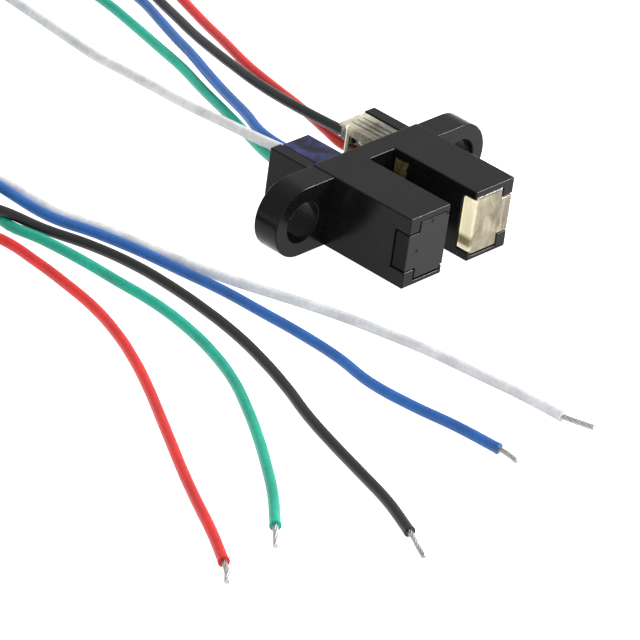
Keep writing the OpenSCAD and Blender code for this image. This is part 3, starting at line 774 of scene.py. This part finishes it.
def bevelled(bm, name, width):
    """The mesh with its weighted edges rounded, in metres."""
    mesh = bpy.data.meshes.new(name)
    bm.to_mesh(mesh)
    bm.free()
    if "custom_normal" in mesh.attributes:
        mesh.attributes.remove(mesh.attributes["custom_normal"])
    base = bpy.data.objects.new(name + "_base", mesh)
    scene.collection.objects.link(base)
    bevel = base.modifiers.new("round", "BEVEL")
    bevel.limit_method = "WEIGHT"
    bevel.width = width
    bevel.segments = bevel_segments
    bevel.use_clamp_overlap = False
    bevel.harden_normals = True
    graph = bpy.context.evaluated_depsgraph_get()
    rounded = bpy.data.meshes.new_from_object(base.evaluated_get(graph),
                                              preserve_all_data_layers=True, depsgraph=graph)
    bpy.data.objects.remove(base)
    for vert in rounded.vertices:
        vert.co *= MM
    return rounded


trial = flat_faces("housing")
print("the housing's", len(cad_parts["housing"].data.polygons), "CAD faces make",
      len(trial.faces), "flat ones")
trial.free()

# %% [markdown]
# ## The moulded pieces
# The housing, the two shells, the two small packages and the tie are plastic that came out of
# a mould. Drawn again they could drift from the sizes, so each CAD mesh is copied and only its
# edges are rounded. Each row gives the node, the name of the new piece, its finish and the
# width of its round.

# %% Round the moulded pieces
def softened(node_name, name, material, width, fine=0.018, hold=0.18):
    """A copy of a CAD node with rounded edges, in the node's place; sizes in millimetres."""
    bm = flat_faces(node_name)
    weigh_edges(bm, fine / width, hold)
    rounded = bevelled(bm, name, width)
    rounded.materials.clear()
    rounded.materials.append(material)
    piece = bpy.data.objects.new(name, rounded)
    scene.collection.objects.link(piece)
    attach(piece, "root")
    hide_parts(node_name)
    return piece


moulded = {
    "housing": softened("housing", "housing_moulding", black_plastic, 0.11),
    "clear_shell": softened("emitter_shell", "clear_shell_moulding", clear_plastic, 0.05),
    "violet_shell": softened("sensor_shell", "violet_shell_moulding", violet_plastic, 0.05),
    "clear_resin": softened("emitter_diode", "diode_package", clear_resin, 0.1),
    "dark_resin": softened("photo_chip", "chip_package", dark_resin, 0.1),
    "tie": softened("cable_tie", "tie_band", nylon, 0.12, fine=0.03),
}
print({piece.name: len(piece.data.polygons) for piece in moulded.values()})

# %% [markdown]
# ## Legs and joints
# The metal legs and their soldered joints lie inside the shells, where little of them shows.
# More detail would gain nothing, so the CAD meshes stay and only take the tin finish.

# %% Tin the legs and joints
tinned = [node for name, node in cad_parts.items() if name.endswith(("_leg", "_joint"))]
for node in tinned:
    for slot in node.material_slots:
        slot.material = tin
print(len(tinned), "legs and joints are tinned")

# %% [markdown]
# ## Hand the leads over
# The exit is 0.1 mm inside the shell's rear. The length is the usual 24 inches, since the
# photograph doesn't show it.

# %% Hand the leads over
for colour, lead in leads.items():
    lead.data.materials.append(vinyl[colour])
    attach(lead, "root")
    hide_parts(colour + "_lead_in", colour + "_lead_out", "lead_coil")

# %% [markdown]
# ## Table
# The photograph's ground is plain white with no shadows. A lamp bright enough for that would
# flatten the leads, so the table glows instead. The Light Path node keeps the glow strong for
# the camera and in reflections, and weak for the light that it throws on the sensor.

# %% Set the table
table_size = 6
glow_seen, glow_thrown = 1.2, 0.05

bpy.ops.mesh.primitive_plane_add(size=table_size)
table = bpy.context.object
table.name = "table"
paper = finish("pale table", (0.6, 0.6, 0.6), grain_scale=300, depth=0.001, roughness=0.9,
               spread=0.02, Specular_IOR_Level=0.0)
paper_bsdf = paper.node_tree.nodes["Principled BSDF"]
paper_bsdf.inputs["Emission Color"].default_value = (1, 1, 1, 1)
thrown = place(paper.node_tree, "ShaderNodeLightPath").outputs["Is Diffuse Ray"]
bright = place(paper.node_tree, "ShaderNodeMapRange", {
    "Value": thrown, "To Min": glow_seen, "To Max": glow_thrown})
paper.node_tree.links.new(bright.outputs["Result"], paper_bsdf.inputs["Emission Strength"])
table.data.materials.append(paper)
print("the table is", table_size, "m wide")

# %% [markdown]
# ## Light
# A white world gives most of the light. A weak key lamp to the right of the camera shapes it.
# A second lamp in the same place gives no diffuse light, so it draws the bright lines along
# the rounded edges without making the faces paler.

# %% Light the scene
world_strength = 0.9
lamp_place, sensor_place = (0.55, -0.385, 0.44), (0, 0, 0)  # metres

world = bpy.data.worlds.new("studio")
world.use_nodes = True
world.node_tree.nodes["Background"].inputs["Color"].default_value = (1, 1, 1, 1)
world.node_tree.nodes["Background"].inputs["Strength"].default_value = world_strength
scene.world = world
scene.view_settings.view_transform = "Standard"


def softbox(name, place_at, aim, size, power):
    """A square lamp, its size in metres and its power in watts, turned towards a point."""
    lamp = bpy.data.lights.new(name, "AREA")
    lamp.size = size
    lamp.energy = power
    box = bpy.data.objects.new(name, lamp)
    box.location = place_at
    box.rotation_euler = (Vector(aim) - Vector(place_at)).to_track_quat("-Z", "Y").to_euler()
    scene.collection.objects.link(box)
    return box


key = softbox("key", lamp_place, sensor_place, size=0.22, power=5)
edge_light = softbox("edge light", lamp_place, sensor_place, size=0.2, power=18)
edge_light.visible_diffuse = False
print("lamps:", key.name, "and", edge_light.name)
